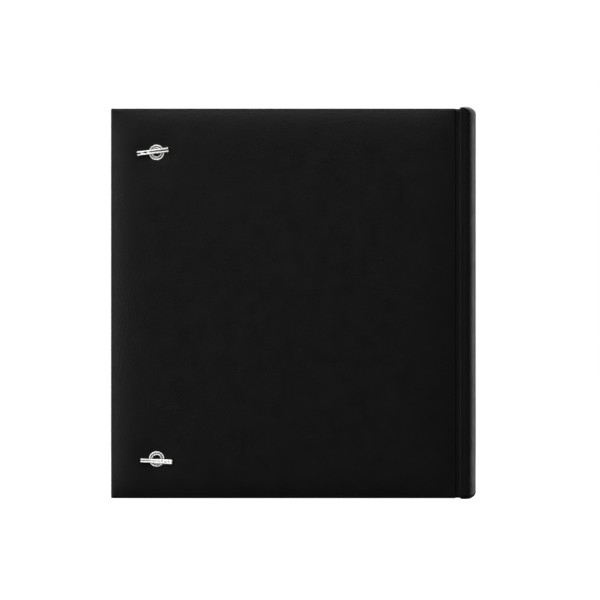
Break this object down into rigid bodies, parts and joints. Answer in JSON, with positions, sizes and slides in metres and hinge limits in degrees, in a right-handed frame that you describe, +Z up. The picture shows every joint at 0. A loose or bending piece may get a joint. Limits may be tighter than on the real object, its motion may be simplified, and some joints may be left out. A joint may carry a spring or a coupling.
{
  "type": "ring binder",
  "caption": "Padded black ring binder standing closed, with hinged covers, a rounded spine, an opening ring mechanism and an elastic closure ended in metal bars over eyelets.",
  "frame": {"origin": "middle of the closed binder's own box, at the height of the spine's bottom end", "axes": "+Z up along the spine, +X towards the spine, +Y out of the front cover"},
  "size_m": [0.273, 0.055, 0.2942],
  "materials": {
    "leatherette": "fine-grained satin",
    "foam": "open-cell foam",
    "board": "bare grey board",
    "lining": "matt, faintly grained",
    "nickel": "nickel plated",
    "blade_steel": "dull plated",
    "barb_steel": "tumbled nickel",
    "elastic": "braided"
  },
  "bodies": {
    "spine": {"back_hinge_strip": "leatherette", "front_hinge_strip": "leatherette", "lower_lever_pin": "nickel", "lower_post": "blade_steel", "lower_rivet": "nickel", "mechanism_plate": "nickel", "spine_board": "board", "spine_former": "foam", "spine_liner": "lining", "spine_skin": "leatherette", "upper_lever_pin": "nickel", "upper_post": "blade_steel", "upper_rivet": "nickel"},
    "front_cover": {"front_cover_board": "board", "front_cover_foam": "foam", "front_cover_liner": "lining", "front_cover_skin": "leatherette"},
    "back_cover": {"back_cover_board": "board", "back_cover_foam": "foam", "back_cover_liner": "lining", "back_cover_skin": "leatherette", "upper_eyelet": "nickel", "lower_eyelet": "nickel", "upper_washer": "barb_steel", "lower_washer": "barb_steel", "elastic_cord": "elastic"},
    "front_blade": {"front_blade": "blade_steel", "front_ring_lower": "nickel", "front_ring_middle": "nickel", "front_ring_upper": "nickel"},
    "rear_blade": {"rear_blade": "blade_steel", "rear_ring_lower": "nickel", "rear_ring_middle": "nickel", "rear_ring_upper": "nickel"},
    "upper_lever": {"upper_lever": "nickel"},
    "lower_lever": {"lower_lever": "nickel"},
    "upper_barb": {"upper_barb": "barb_steel"},
    "lower_barb": {"lower_barb": "barb_steel"}
  },
  "joints": [
    {"name": "front_cover_hinge", "type": "hinge", "parent": "spine", "child": "front_cover", "pos_m": [0.1235, 0.0275, 0.14675], "axis": [0, 0, -1], "range_deg": [0, 180]},
    {"name": "back_cover_hinge", "type": "hinge", "parent": "spine", "child": "back_cover", "pos_m": [0.1235, -0.0235, 0.14675], "axis": [0, 0, 1], "range_deg": [0, 180]},
    {"name": "front_blade_pivot", "type": "hinge", "parent": "spine", "child": "front_blade", "pos_m": [0.1223, 0.013, 0.14675], "axis": [0, 0, -1], "range_deg": [0, 13]},
    {"name": "rear_blade_pivot", "type": "hinge", "parent": "spine", "child": "rear_blade", "pos_m": [0.1223, -0.009, 0.14675], "axis": [0, 0, 1], "range_deg": [0, 13.1]},
    {"name": "upper_lever_pivot", "type": "hinge", "parent": "spine", "child": "upper_lever", "pos_m": [0.122, 0.002, 0.27375], "axis": [0, 1, 0], "range_deg": [0, 28.7]},
    {"name": "lower_lever_pivot", "type": "hinge", "parent": "spine", "child": "lower_lever", "pos_m": [0.122, 0.002, 0.01975], "axis": [0, -1, 0], "range_deg": [0, 28.7]},
    {"name": "upper_barb_swivel", "type": "hinge", "parent": "back_cover", "child": "upper_barb", "pos_m": [-0.1031, -0.0263, 0.26065], "axis": [0, -1, 0], "range_deg": [-90, 90]},
    {"name": "lower_barb_swivel", "type": "hinge", "parent": "back_cover", "child": "lower_barb", "pos_m": [-0.10245, -0.0263, 0.02865], "axis": [0, -1, 0], "range_deg": [-90, 90]}
  ],
  "couplings": [
    {"joint": "rear_blade_pivot", "follows": "front_blade_pivot", "ratio": 1},
    {"joint": "upper_lever_pivot", "follows": "front_blade_pivot", "ratio": 2.2},
    {"joint": "lower_lever_pivot", "follows": "front_blade_pivot", "ratio": 2.2}
  ]
}
